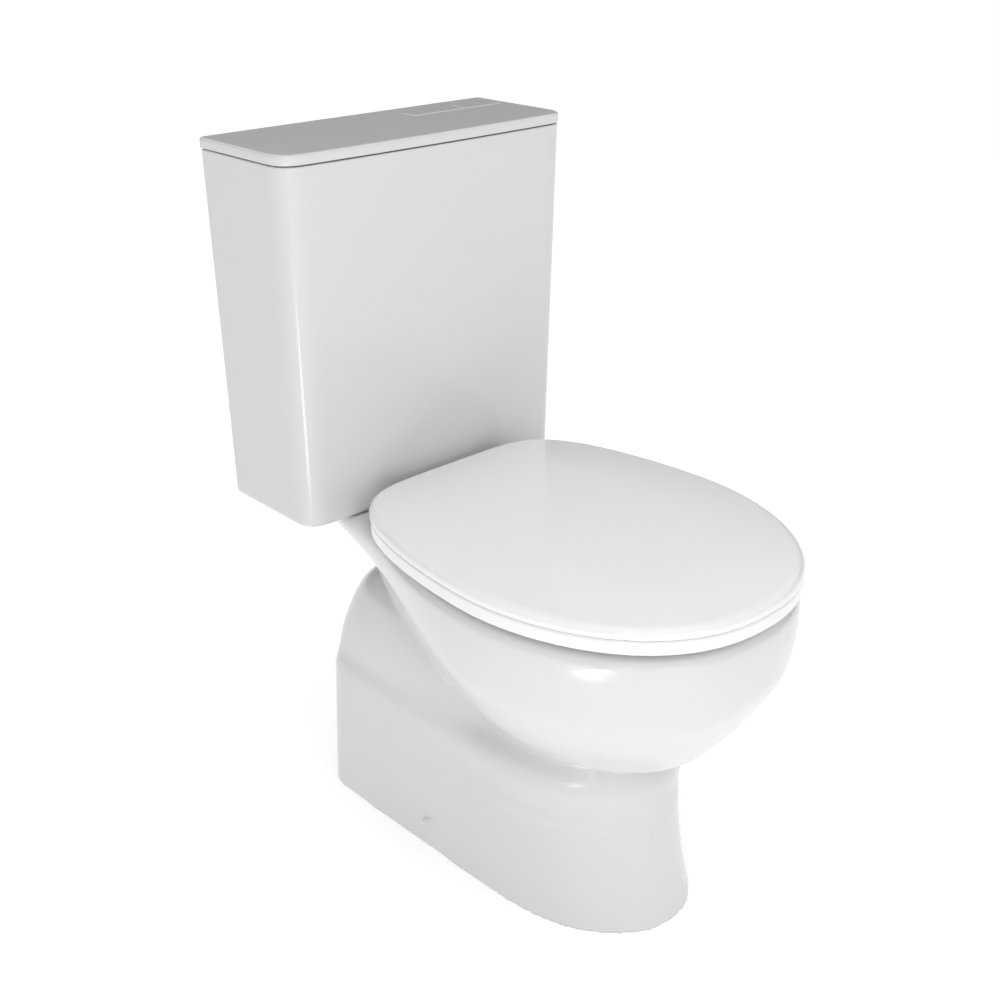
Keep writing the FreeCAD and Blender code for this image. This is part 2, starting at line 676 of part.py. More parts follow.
def seat_oval(z, inset=0.0):
    widest = SEAT_WIDEST
    half = []
    length = SEAT_FRONT - inset - widest
    for along, across in quarter(length, SEAT_HALF - inset, 2.26, 1.94, 8):
        half.append((widest + along, across))
    half.append((widest, SEAT_HALF - inset))
    rear = quarter(widest - SEAT_BACK - inset, SEAT_HALF - inset, 5.2, 1.7, 9)
    for along, across in reversed(rear):
        half.append((widest - along, across))
    return closed_outline(half, z)


def seat_loft(sections, ruled=False):
    return loft([seat_oval(z, inset) for z, inset in sections], ruled)


def seat_ring():
    ring_body = loft([
        seat_oval(SEAT_BOTTOM, 5.0), seat_oval(SEAT_BOTTOM + 3, 2.0), seat_oval(SEAT_BOTTOM + 8, 0.8),
        seat_oval(SEAT_TOP - 3, 0.8), seat_oval(SEAT_TOP, 2.6),
    ])
    hole = loft([
        oval(SEAT_BOTTOM - 1, 562.0, 262.0, 408.0, 117.0),
        oval(SEAT_BOTTOM + 8, 560.0, 264.0, 408.0, 115.0),
        oval(SEAT_TOP + 1, 566.0, 258.0, 408.0, 121.0),
    ])
    seat = ring_body.cut(hole)
    seat = seat.cut(box(-200, 200, 100, 201, 400, 430))
    for side in (-1, 1):
        x0, x1 = sorted((side * 85.0, side * 97.0))
        arm = fuse(box(x0, x1, HINGE_D, 206, HINGE_Z - 5.6, HINGE_Z), rod_x(x0, HINGE_D, HINGE_Z, 5.6, 12))
        arm = fuse(arm, box(x0, x1, 194, 206, 411, HINGE_Z - 3.2)).cut(box(x0, x1, 188, 210, SEAT_TOP, 440))
        seat = fuse(seat, arm)
    return seat.cut(rod_x(-110, HINGE_D, HINGE_Z, 3.0 + RUNNING, 220))


def seat_cover():
    skirt = [(423.5, 1.0), (427.0, 0.0), (430.6, 2.4), (433.4, 7.0), (435.2, 13.0), (436.2, 20.0)]
    dome = [(436.2, 20.0), (437.2, 50.0), (437.8, 90.0)]
    outer = fuse(seat_loft(skirt), seat_loft(dome, True))
    skirt = [(422.0, 4.0), (427.0, 4.2), (430.2, 7.0), (432.0, 13.0), (432.8, 20.0)]
    dome = [(432.8, 20.0), (433.8, 50.0), (434.2, 90.0)]
    cover = outer.cut(fuse(seat_loft(skirt), seat_loft(dome, True)))
    for side in (-1, 1):
        x0, x1 = sorted((side * 54.0, side * 101.0))
        cover = cover.cut(box(x0, x1, 150, 200, 420, 432.2))
    for side in (-1, 1):
        x0, x1 = sorted((side * 58.0, side * 70.0))
        knuckle = rod_x(x0, HINGE_D, HINGE_Z, 5.6, 12)
        knuckle = fuse(knuckle, box(x0, x1, HINGE_D - 5.6, HINGE_D + 5.6, HINGE_Z, 433))
        cover = fuse(cover, knuckle)
    return cover.cut(rod_x(-110, HINGE_D, HINGE_Z, 3.0 + RUNNING, 220))


def seat_hinges():
    d = HINGE_POST_D
    post = fuse(rod(HINGE_X, d, RIM_Z, 14.5, 4), box(72, 83, 177.5, 190, RIM_Z + 2, HINGE_Z - 2))
    post = fuse(post, rod_x(72, HINGE_D, HINGE_Z, 5.6, 11))
    post = post.cut(rod_x(60, HINGE_D, HINGE_Z, 3.0, 40))
    post = post.cut(rod(HINGE_X, d, 390, 3.0, 14))
    plug = fuse(ring(HINGE_X, d, 384, 3.0, 6.9, 16), ring(HINGE_X, d, 380, 3.0, 9.5, 7.5))
    plug = plug.cut(ring(HINGE_X, d, 387.4, 6.9, 12, 14))
    return {
        "hinge_posts": mirrored(post),
        "hinge_pins": mirrored(rod_x(57.0, HINGE_D, HINGE_Z, 3.0, 41.0)),
        "hinge_studs": mirrored(rod(HINGE_X, d, 378, 3.0, 26)),
        "hinge_plugs": mirrored(plug),
    }


def seat_and_cover():
    """The seat on its four pads, and the cover with four small pads that rest on the seat."""
    cover = seat_cover()
    pads = []
    for x, d in ((120, 262), (100, 530)):
        pads.append(mirrored(rod(x, d, RIM_Z + 0.2, 8, SEAT_BOTTOM - RIM_Z - 0.2)))
    bumpers = []
    for x, d in ((142, 300), (118, 500)):
        bumpers.append(mirrored(rod(x, d, SEAT_TOP + 0.2, 6, 11.0).cut(cover)))
    return {
        "seat_ring": seat_ring(),
        "seat_cover": cover,
        "seat_buffers": Part.Compound(pads),
        "cover_buffers": Part.Compound(bumpers),
    }


def main():
    parts = {
        "pan": pan(),
        "cistern_tank": cistern_tank(),
        "cistern_lid": cistern_lid(),
        "button_frame": button_frame(),
    }
    groups = (
        base_fixings, buttons, flush_valve, levers, fill_parts, cistern_bolts, seat_hinges, seat_and_cover,
    )
    for group in groups:
        parts.update(group())
    os.makedirs("parts", exist_ok=True)
    for name, shape in parts.items():
        shape.exportStep(os.path.join("parts", name + ".step"))


main()
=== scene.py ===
import json
import math

import bmesh
import bpy
import numpy as np
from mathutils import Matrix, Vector
from mathutils.geometry import tessellate_polygon


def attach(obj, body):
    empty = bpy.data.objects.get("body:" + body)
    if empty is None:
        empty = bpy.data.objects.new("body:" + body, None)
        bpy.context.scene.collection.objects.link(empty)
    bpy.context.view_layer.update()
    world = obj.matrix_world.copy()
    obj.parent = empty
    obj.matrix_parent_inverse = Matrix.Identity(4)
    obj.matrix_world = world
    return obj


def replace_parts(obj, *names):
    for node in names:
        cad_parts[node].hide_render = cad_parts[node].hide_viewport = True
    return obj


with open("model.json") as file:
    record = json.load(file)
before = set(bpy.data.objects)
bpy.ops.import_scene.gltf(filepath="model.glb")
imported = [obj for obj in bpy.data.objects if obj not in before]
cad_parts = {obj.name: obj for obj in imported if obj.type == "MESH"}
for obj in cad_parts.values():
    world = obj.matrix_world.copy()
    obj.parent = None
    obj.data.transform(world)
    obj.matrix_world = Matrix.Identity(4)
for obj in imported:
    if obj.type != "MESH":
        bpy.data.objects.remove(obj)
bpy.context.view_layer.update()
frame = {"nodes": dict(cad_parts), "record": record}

# The shapes below are worked out in millimetres: x across, d forwards from the wall, z up.
WALL = 307.0
RIM_Z = 400.0
FOOT_HALF = 120.5
TANK_TOP = 792.0
TANK_WALL = 4
LID_BOTTOM = 793.5
LID_TOP = 804.0
LID_WIDTH = 387.6
LID_DEPTH = 149.5
LID_BOW = 3.5
LID_INSIDE = 7.0
SEAT_FRONT = 614.0
SEAT_WIDEST = 394.0
SEAT_BACK = 158.0
SEAT_HALF = 186.0
HINGE_D = 180.0
HINGE_Z = 426.0
EGG = (2.26, 1.94)
GRID = 3.0
FINE = 2.0


# ---------------------------------------------------------------- curves and outlines


def quarter(length, width, power_x, power_d, steps):
    """A quarter of a superellipse as (along, across) pairs, from the tip to the widest place."""
    turn = np.linspace(0, math.pi / 2, steps, endpoint=False)
    along = length * np.cos(turn) ** (2 / power_d)
    across = width * np.sin(turn) ** (2 / power_x)
    return np.stack([along, across], 1)


def even_quarter(length, width, power_x, power_d, steps=150):
    """The same quarter with its points close together everywhere."""
    across = np.linspace(0, 0.8, steps, endpoint=False)
    along = np.linspace((1 - 0.8**power_x) ** (1 / power_d), 0, steps, endpoint=False)
    first = np.stack([(1 - across**power_x) ** (1 / power_d), across], 1)
    second = np.stack([along, (1 - along**power_d) ** (1 / power_x)], 1)
    return np.concatenate([first, second]) * [length, width]


def oval(front, back, widest, width, front_powers=EGG, back_powers=(2.3, 2.0)):
    """Half of an egg shape as (d, x) points from the front tip to the back tip."""
    fore = even_quarter(front - widest, width, front_powers[0], front_powers[1])
    rear = even_quarter(widest - back, width, back_powers[0], back_powers[1])
    fore = np.stack([widest + fore[:, 0], fore[:, 1]], 1)
    rear = np.stack([widest - rear[:, 0], rear[:, 1]], 1)[::-1]
    return np.concatenate([fore, [[widest, width]], rear])


def spline_through(points, count):
    """A smooth closed curve through points, at count even steps of its length."""
    points = np.asarray(points, float)
    n = len(points)
    gap = np.linalg.norm(np.roll(points, -1, 0) - points, axis=1)
    before = np.roll(gap, 1)
    m = np.zeros((n, n))
    for i in range(n):
        m[i, i - 1] += before[i]
        m[i, i] += 2 * (before[i] + gap[i])
        m[i, (i + 1) % n] += gap[i]
    slope = (np.roll(points, -1, 0) - points) / gap[:, None]
    bend = np.linalg.solve(m, 6 * (slope - np.roll(slope, 1, 0)))
    start = np.concatenate([[0], np.cumsum(gap)])
    along = np.linspace(0, start[-1], count, endpoint=False)
    i = np.clip(np.searchsorted(start, along, side="right") - 1, 0, n - 1)
    j = (i + 1) % n
    g = gap[i][:, None]
    t = (along - start[i])[:, None]
    rest = g - t
    return (
        bend[i] * rest**3 / (6 * g)
        + bend[j] * t**3 / (6 * g)
        + (points[i] / g - bend[i] * g / 6) * rest
        + (points[j] / g - bend[j] * g / 6) * t
    )


def whole(half):
    """A full outline from its +x half."""
    half = np.asarray(half, float)
    return np.concatenate([half, (half[1:-1] * [1, -1])[::-1]])


def natural_spline(z, values, at):
    """Smooth values between heights z, read at the heights at. values is (len(z), n)."""
    n = len(z)
    h = np.diff(z)
    m = np.eye(n)
    right = np.zeros_like(values)
    for i in range(1, n - 1):
        m[i, i - 1 : i + 2] = h[i - 1], 2 * (h[i - 1] + h[i]), h[i]
        right[i] = 6 * ((values[i + 1] - values[i]) / h[i] - (values[i] - values[i - 1]) / h[i - 1])
    bend = np.linalg.solve(m, right)
    i = np.clip(np.searchsorted(z, at, side="right") - 1, 0, n - 2)
    g = h[i][:, None]
    t = (at - z[i])[:, None]
    rest = g - t
    return (
        bend[i] * rest**3 / (6 * g)
        + bend[i + 1] * t**3 / (6 * g)
        + (values[i] / g - bend[i] * g / 6) * rest
        + (values[i + 1] / g - bend[i + 1] * g / 6) * t
    )


# ---------------------------------------------------------------- solid fields, negative inside


class Stack:
    """A body given by closed outlines at several heights, smooth between them."""

    def __init__(self, sections, centre_d, turns=1440):
        self.centre = centre_d
        self.turns = turns
        angles = (np.arange(turns) + 0.5) / turns * 2 * math.pi - math.pi
        rows = []
        for z, half in sections:
            curve = spline_through(whole(half), 2400) if len(half) < 30 else whole(half)
            turn = np.arctan2(curve[:, 1], curve[:, 0] - centre_d)
            away = np.hypot(curve[:, 1], curve[:, 0] - centre_d)
            order = np.argsort(turn)
            rows.append(np.interp(angles, turn[order], away[order], period=2 * math.pi))
        z = np.array([s[0] for s in sections], float)
        self.low, self.high = z[0], z[-1]
        self.levels = np.linspace(z[0], z[-1], int(z[-1] - z[0]) + 2)
        self.step = self.levels[1] - self.levels[0]
        self.table = natural_spline(z, np.array(rows), self.levels)
        rise = np.gradient(self.table, self.step, axis=0)
        round_ = np.gradient(self.table, 2 * math.pi / turns, axis=1) / np.maximum(self.table, 1)
        self.tilt = 1 / np.sqrt(1 + rise**2 + round_**2)

    def side(self, x, d, z):
        turn = (np.arctan2(x, d - self.centre) + math.pi) / (2 * math.pi) * self.turns - 0.5
        i = np.floor(turn).astype(int)
        a = turn - i
        i0, i1 = i % self.turns, (i + 1) % self.turns
        row = np.clip((z - self.low) / self.step, 0, len(self.levels) - 1.001)
        k = row.astype(int)
        b = row - k
        t = self.table
        radius = (t[k, i0] * (1 - a) + t[k, i1] * a) * (1 - b)
        radius += (t[k + 1, i0] * (1 - a) + t[k + 1, i1] * a) * b
        return (np.hypot(x, d - self.centre) - radius) * self.tilt[k, i0]

    def __call__(self, x, d, z):
        caps = np.maximum(self.low - z, z - self.high)
        return np.maximum(self.side(x, d, z), caps)


def blend_min(a, b, k):
    """The union of two bodies with a soft fillet of width k."""
    h = np.maximum(k - np.abs(a - b), 0) / k
    return np.minimum(a, b) - h * h * k / 4


def rounded_max(a, b, r):
    """The meeting of two bodies with its edge rounded to radius r."""
    outside = np.hypot(np.maximum(a + r, 0), np.maximum(b + r, 0))
    return np.minimum(np.maximum(a, b) + r, 0) + outside - r


def drum(x, d, z, cx, cd, r, low, high):
    """An upright cylinder around (cx, cd)."""
    return np.maximum(np.hypot(x - cx, d - cd) - r, np.maximum(low - z, z - high))


def hose(x, d, z, path):
    """Distance to a path of (d, z) points in the middle plane."""
    best = np.full(np.shape(x), 1e9)
    for a, b in zip(path[:-1], path[1:]):
        v = b - a
        t = np.clip(((d - a[0]) * v[0] + (z - a[1]) * v[1]) / (v @ v), 0, 1)
        best = np.minimum(best, x**2 + (d - a[0] - t * v[0]) ** 2 + (z - a[1] - t * v[1]) ** 2)
    return np.sqrt(best)


# ---------------------------------------------------------------- surface of a field


def surface(field, low, high, step):
    """Vertices on field = 0 and the quads between them, from a regular grid of cells."""
    axes = [np.arange(a - 2 * step, b + 2.5 * step, step) for a, b in zip(low, high)]
    f = np.empty([len(a) for a in axes], np.float32)
    for k in range(0, len(axes[2]), 16):
        x, d, z = np.meshgrid(axes[0], axes[1], axes[2][k : k + 16], indexing="ij")
        f[:, :, k : k + 16] = field(x, d, z)
    inside = f < 0
    cells = [n - 1 for n in f.shape]
    total = np.zeros(cells, np.int8)
    for corner in np.ndindex(2, 2, 2):
        total += inside[tuple(slice(c, c + n) for c, n in zip(corner, cells))]
    active = (total > 0) & (total < 8)
    number = np.full(cells, -1)
    number[active] = np.arange(active.sum())
    where = np.argwhere(active)
    sums = np.zeros((len(where), 3))
    counts = np.zeros(len(where))
    for axis in range(3):
        others = [a for a in range(3) if a != axis]
        for u, v in ((0, 0), (0, 1), (1, 0), (1, 1)):
            start = np.zeros(3, int)
            start[others[0]], start[others[1]] = u, v
            end = start.copy()
            end[axis] = 1
            a = f[tuple((where + start).T)]
            b = f[tuple((where + end).T)]
            cross = (a < 0) != (b < 0)
            t = np.where(cross, a / np.where(cross, a - b, 1), 0)
            point = where + start + t[:, None] * (end - start)
            sums += np.where(cross[:, None], point, 0)
            counts += cross
    points = sums / counts[:, None] * step + [a[0] for a in axes]
    quads = []
    for axis in range(3):
        u, v = [(axis + 1) % 3, (axis + 2) % 3]
        size = list(f.shape)
        size[axis] -= 1
        first = inside[tuple(slice(0, n) for n in size)]
        shift = [0, 0, 0]
        shift[axis] = 1
        second = inside[tuple(slice(s, s + n) for s, n in zip(shift, size))]
        edge = np.argwhere(first != second)
        keep = (edge[:, u] > 0) & (edge[:, v] > 0) & (edge[:, u] < size[u] - 1) & (edge[:, v] < size[v] - 1)
        edge = edge[keep]
        ring = []
        for du, dv in ((1, 1), (0, 1), (0, 0), (1, 0)):
            cell = edge.copy()
            cell[:, u] -= du
            cell[:, v] -= dv
            ring.append(number[tuple(cell.T)])
        ring = np.stack(ring, 1)
        flip = first[tuple(edge.T)]
        ring[flip] = ring[flip][:, ::-1]
        quads.append(ring)
    quads = np.concatenate(quads)
    small = 0.4
    for _ in range(5):
        value = field(*points.T)
        slope = np.stack([
            field(*(points + offset).T) - field(*(points - offset).T) for offset in np.eye(3) * small
        ], 1) / (2 * small)
        size = np.maximum((slope**2).sum(1), 0.2)
        move = (value / size)[:, None] * slope
        length = np.linalg.norm(move, axis=1, keepdims=True)
        points = points - move * np.minimum(1, step * 0.5 / np.maximum(length, 1e-9))
    return points, quads


def to_row(points):
    """Millimetres (x, d, z) to the row frame in metres."""
    points = np.asarray(points, float)
    return np.stack([points[:, 0], WALL - points[:, 1], points[:, 2]], 1) / 1000


def new_mesh(name, points, faces):
    mesh = bpy.data.meshes.new(name)
    mesh.from_pydata(to_row(points).tolist(), [], [list(map(int, f)) for f in faces])
    mesh.validate()
    mesh.polygons.foreach_set("use_smooth", [True] * len(mesh.polygons))
    mesh.update()
    obj = bpy.data.objects.new(name, mesh)
    bpy.context.scene.collection.objects.link(obj)
    return obj


def outward(obj):
    """Turn all faces of a closed mesh so that they look outwards."""
    bm = bmesh.new()
    bm.from_mesh(obj.data)
    bmesh.ops.recalc_face_normals(bm, faces=bm.faces)
    bm.to_mesh(obj.data)
    bm.free()
    return obj


# ---------------------------------------------------------------- pan

HULL_WIDEST = 392.0
PIPE_R = 41.0
PIPE_WALL = 10.0
INLET = (0, 70)
BOLT = (75, 66)
HINGE_POST = (77.5, 184)
# the outside of the bowl: height, front, half width, (d, x) points round the rear, back
HULL = [
    (210.0, 490.0, 88.0, [(355, 84), (325, 70), (305, 48)], 294.0),
    (214.0, 512.0, 98.0, [(350, 92), (318, 76), (292, 51)], 280.0),
    (221.0, 534.0, 108.0, [(345, 103), (305, 88), (275, 59)], 258.0),
    (238.0, 553.0, 125.0, [(340, 118), (272, 99), (232, 64)], 212.0),
    (260.0, 570.0, 143.0, [(330, 132), (240, 100), (190, 63)], 168.0),
    (290.0, 588.6, 161.6, [(310, 142), (205, 101), (135, 70)], 96.0),
    (320.0, 604.5, 177.5, [(300, 156), (180, 105), (114, 80)], 56.0),
    (350.0, 610.7, 183.7, [(290, 165), (175, 120), (98, 94)], 28.0),
    (375.0, 612.3, 185.3, [(285, 169), (175, 135), (86, 110)], 18.0),
    (388.0, 611.5, 184.6, [(280, 169), (175, 138), (80, 116)], 16.0),
    (400.0, 610.0, 183.0, [(280, 168), (175, 137), (80, 115)], 16.0),
]


def hull_half(front, width, rear, back):
    half = [(HULL_WIDEST + a, b) for a, b in quarter(front - HULL_WIDEST, width, *EGG, 7)]
    half.append((HULL_WIDEST, width))
    half.extend(rear)
    half.append((back + 4, rear[-1][1] * 0.55))
    half.append((back, 0.0))
    return half


def foot_half(inset=0.0, front=524.5, width=FOOT_HALF, back=40.0):
    """Round at the front, nearly straight at the sides, with full corners at the back."""
    half = [(front - inset, 0.0)]
    for d, share in ((519, 0.26), (500, 0.485), (470, 0.70), (430, 0.845), (365, 0.93)):
        half.append((front - 524.5 + d - inset * (d - 365) / 160, share * width - inset))
    for d, share in ((283, 0.947), (200, 0.961), (140, 0.971)):
        half.append((d, share * width - inset))
    reach = 100.0 - back - inset
    side = 0.975 * width - inset
    for degrees in (5, 25, 42, 56, 70, 80):
        turn = math.radians(degrees)
        half.append((100.0 - reach * math.sin(turn) ** 0.62, side * math.cos(turn) ** 0.46))
    half.append((back + inset, 0.0))
    return half


hull = Stack([(z, hull_half(front, width, rear, back)) for z, front, width, rear, back in HULL], 330)
foot = Stack(
    [
        (0.0, foot_half(0.0, 525.0)), (20.0, foot_half(0.8, 519.5)), (45.0, foot_half(1.5, 514.5)),
        (90.0, foot_half(3.2, 509.5)), (130.0, foot_half(5.2, 507.0)), (160.0, foot_half(7.2, 505.0)),
        (176.0, foot_half(8.4, 504.0)),
    ],
    270,
)
NECK = ((2.3, 2.1), (3.2, 2.6))
# the narrow part between foot and bowl
neck = Stack(
    [
        (140.0, oval(480.0, 120.0, 372.0, 88.0, *NECK)), (178.0, oval(491.0, 125.0, 372.0, 101.0, *NECK)),
        (196.0, oval(489.0, 130.0, 372.0, 97.0, *NECK)), (212.0, oval(484.0, 140.0, 372.0, 92.0, *NECK)),
        (228.0, oval(480.0, 150.0, 372.0, 88.0, *NECK)),
    ],
    320,
)
# the rounded cover of the trap behind the bowl
hump = Stack(
    [
        (120.0, oval(380.0, 42.0, 210.0, 105.0, (2.6, 2.2), (6.5, 6.5))),
        (180.0, oval(380.0, 42.0, 210.0, 105.0, (2.6, 2.2), (6.5, 6.5))),
        (214.0, oval(372.0, 43.0, 206.0, 103.5, (2.6, 2.2), (5.0, 5.0))),
        (242.0, oval(352.0, 47.0, 200.0, 100.0, (2.6, 2.2), (3.9, 3.9))),
        (266.0, oval(320.0, 55.0, 190.0, 93.0, (2.4, 2.2), (3.4, 3.4))),
        (288.0, oval(290.0, 73.0, 182.0, 79.0, (2.4, 2.2), (3.0, 3.0))),
        (302.0, oval(262.0, 96.0, 178.0, 58.0, (2.2, 2.2), (2.6, 2.6))),
    ],
    190,
)
# the hollows inside the foot and under the hump
foot_space = Stack(
    [(-5.0, foot_half(11.0)), (20.0, foot_half(12.0, 518.5)), (60.0, foot_half(13.5, 511.0)),
     (120.0, foot_half(16.0, 506.0)), (164.0, foot_half(21.0, 500.0))],
    270,
)
trap_space = Stack(
    [
        (150.0, oval(330.0, 56.0, 200.0, 91.0, (2.6, 2.2), (3.6, 3.6))),
        (214.0, oval(300.0, 57.0, 196.0, 90.0, (2.6, 2.2), (3.6, 3.6))),
        (260.0, oval(260.0, 68.0, 180.0, 80.0, (2.4, 2.2), (3.2, 3.2))),
        (288.0, oval(226.0, 92.0, 160.0, 56.0, (2.2, 2.2), (2.6, 2.6))),
    ],
    180,
)
# the inside of the bowl, and the outside of the wall around its lower part
bowl = Stack(
    [
        (52.0, oval(436, 365, 400, 34)), (58.0, oval(446, 352, 400, 46)), (93.0, oval(458, 344, 400, 54)),
        (134.0, oval(466, 332, 400, 62)), (175.0, oval(473, 314, 400, 73)), (199.0, oval(473, 306, 399, 75)),
        (212.0, oval(477, 300, 399, 80)), (219.0, oval(494, 295, 398, 90)), (227.0, oval(513, 289, 398, 99)),
        (241.0, oval(536, 279, 397, 113)), (260.0, oval(556, 266, 396, 128)),
        (320.0, oval(591, 241, 394, 162)),
        (386.0, oval(597, 232, 394, 168)),
    ],
    400,
)
sump = Stack(
    [
        (42.0, oval(448, 352, 400, 44)), (52.0, oval(460, 340, 400, 57)), (134.0, oval(481, 321, 400, 73)),
        (180.0, oval(486, 305, 400, 84)), (199.0, oval(487, 296, 399, 90)), (222.0, oval(518, 280, 398, 100)),
        (250.0, oval(530, 262, 390, 110)), (280.0, oval(530, 246, 385, 110)),
    ],
    400,
)
RIM_OPENING = oval(566, 258, 410, 125)
opening = Stack([(300.0, RIM_OPENING), (420.0, RIM_OPENING)], 410)


def arc(centre_d, centre_z, r, start, end):
    """Points (d, z) of an arc between two angles in degrees."""
    turn = np.radians(np.linspace(start, end, 13))
    return np.stack([centre_d + r * np.cos(turn), centre_z + r * np.sin(turn)], 1)


# the middle line of the waterway, from the sump over the weir and down to the floor
TRAP = np.concatenate([
    [[402.0, 92.0]], arc(323.3, 152.0, 60, 270, 200), arc(193, 165, 58, 20, 180), [[135.0, -20.0]],
])
# upright holes in the deck: centre (x, d), radius, lower end, upper end
HOLES = (
    (INLET, 44, 374, 420), (INLET, 28, 352, 420), (BOLT, 17, 320, 382), (BOLT, 5.5, 320, 420),
    (HINGE_POST, 7, 380, 420),
)


def pan_outside(x, d, z):
    body = rounded_max(hull.side(x, d, z), z - RIM_Z, 10.0)
    body = rounded_max(body, hull.low - z, 7.0)
    foot_body = rounded_max(foot.side(x, d, z), z - 179.0, 14.0)
    neck_body = np.maximum(neck.side(x, d, z), np.maximum(140 - z, z - 228))
    hump_body = rounded_max(hump.side(x, d, z), z - 304.0, 20.0)
    lower = blend_min(foot_body, neck_body, 26.0)
    lower = blend_min(lower, hump_body, 16.0)
    return np.maximum(blend_min(lower, body, 12.0), -z)


def pan_field(x, d, z):
    outside = pan_outside(x, d, z)
    path = np.full(np.shape(x), 500.0)
    near = (np.abs(x) < 70) & (d < 480) & (z < 300)
    path[near] = hose(x[near], d[near], z[near], TRAP)
    walls = np.minimum(sump(x, d, z), path - (PIPE_R + PIPE_WALL))
    walls = np.minimum(walls, drum(x, d, z, *INLET, 54, 300, RIM_Z))
    space = blend_min(foot_space(x, d, z), trap_space(x, d, z), 20.0)
    solid = rounded_max(outside, -rounded_max(space, -walls, 6.0), 2.0)
    mouth = opening.side(x, d, z)
    lip = np.maximum(np.abs(mouth - 5) - 5, 354 - z)
    cavity = np.maximum(bowl(x, d, z), -lip)
    solid = rounded_max(solid, -cavity, 3.0)
    solid = rounded_max(solid, -np.maximum(mouth, 300 - z), 5.0)
    solid = rounded_max(solid, -(path - PIPE_R), 4.0)
    for centre, r, low, high in HOLES:
        solid = np.maximum(solid, -drum(np.abs(x), d, z, *centre, r, low, high))
    return solid


pan_points, pan_quads = surface(pan_field, (-190, 10, -4), (190, 616, 404), GRID)
pan = new_mesh("pan_body", pan_points, pan_quads)
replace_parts(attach(pan, "toilet"), "pan")

# ---------------------------------------------------------------- seat and cover


def seat_half():
    middle = [SEAT_WIDEST, 0]
    fore = even_quarter(SEAT_FRONT - SEAT_WIDEST, SEAT_HALF, *EGG) + middle
    rear = even_quarter(SEAT_WIDEST - SEAT_BACK, SEAT_HALF, 5.2, 1.7) * [-1, 1] + middle
    return np.concatenate([fore, [[SEAT_WIDEST, SEAT_HALF]], rear[::-1]])


seat_edge = Stack([(400.0, seat_half()), (440.0, seat_half())], 390)
SEAT_OPENING = oval(560, 264, 408, 115)
seat_hole = Stack([(400.0, SEAT_OPENING), (440.0, SEAT_OPENING)], 408)
KNUCKLE_R = 5.6
PIN_HOLE_R = 3.25
ARM = (85, 97)
COVER_KNUCKLE = (58, 70)


def block(x, d, z, x0, x1, d0, d1, z0, z1):
    return np.maximum.reduce([x0 - x, x - x1, d0 - d, d - d1, z0 - z, z - z1])


def barrel(x, d, z, x0, x1, r):
    """A knuckle or a hole along the hinge line."""
    return np.maximum(np.hypot(d - HINGE_D, z - HINGE_Z) - r, np.maximum(x0 - x, x - x1))


def ring_field(x, d, z):
    side = seat_edge.side(x, d, z) + 0.8
    plate = rounded_max(side, z - 423.0, 3.5)
    plate = rounded_max(plate, 407.0 - z, 3.0)
    plate = rounded_max(plate, -seat_hole.side(x, d, z) - (z - 415.0) ** 2 / 60, 5.0)
    plate = rounded_max(plate, 201.0 - d, 1.5)
    x = np.abs(x)
    arm = block(x, d, z, *ARM, 180, 206, 420.4, 425.8)
    arm = np.minimum(arm, block(x, d, z, *ARM, 194, 206, 411, 422.8))
    arm = np.minimum(arm, barrel(x, d, z, *ARM, KNUCKLE_R))
    arm = np.maximum(arm, -block(x, d, z, 84, 98, 188, 210, 423, 440))
    return np.maximum(np.minimum(plate, rounded_max(arm, arm, 0.6)), -barrel(x, d, z, 50, 110, PIN_HOLE_R))


def cover_field(x, d, z):
    side = seat_edge.side(x, d, z)
    inset = np.clip(-side, 0, 95)
    crown = 435.4 + 2.4 * (1 - (1 - inset / 95) ** 2)
    outer = rounded_max(rounded_max(side, z - crown, 9.0), 423.5 - z, 1.2)
    inner = rounded_max(side + 4.2, z - crown + 3.5, 6.0)
    x = np.abs(x)
    shell = rounded_max(outer, -inner, 1.0)
    shell = np.maximum(shell, -block(x, d, z, 54, 101, 140, 200, 418, 432.2))
    knuckle = barrel(x, d, z, *COVER_KNUCKLE, KNUCKLE_R)
    knuckle = np.minimum(knuckle, block(x, d, z, *COVER_KNUCKLE, 174.4, 185.6, 426, 433))
    return np.maximum(np.minimum(shell, knuckle), -barrel(x, d, z, 50, 110, PIN_HOLE_R))


ring_mesh = new_mesh("seat_body", *surface(ring_field, (-188, 172, 406), (188, 615, 433), FINE))
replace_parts(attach(ring_mesh, "seat"), "seat_ring")
cover_mesh = new_mesh("cover_body", *surface(cover_field, (-188, 154, 419), (188, 615, 439), FINE))
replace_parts(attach(cover_mesh, "cover"), "seat_cover")

# ---------------------------------------------------------------- cistern


class Build:
    """Collects rings of points and the faces between them."""

    def __init__(self):
        self.points = []
        self.faces = []

    def ring(self, loop, joined=None):
        start = len(self.points)
        self.points.extend(loop)
        n = len(loop)
        if joined is not None:
            for i in range(n):
                j = (i + 1) % n
                self.faces.append((joined + i, joined + j, start + j, start + i))
        return start

    def rings(self, loops, joined=None):
        for loop in loops:
            joined = self.ring(loop, joined)
        return joined

    def cap(self, start, count):
        self.faces.append(tuple(range(start, start + count)))

    def cap_with_hole(self, start, count, hole_start, hole_count):
        outer = [Vector((p[0], p[1], 0)) for p in self.points[start : start + count]]
        inner = [Vector((p[0], p[1], 0)) for p in self.points[hole_start : hole_start + hole_count]]
        number = list(range(start, start + count)) + list(range(hole_start, hole_start + hole_count))
        for face in tessellate_polygon([outer, inner]):
            self.faces.append(tuple(number[i] for i in face))

    def mesh(self, name, crease=35):
        obj = outward(new_mesh(name, self.points, self.faces))
        obj.data.set_sharp_from_angle(angle=math.radians(crease))
        return obj


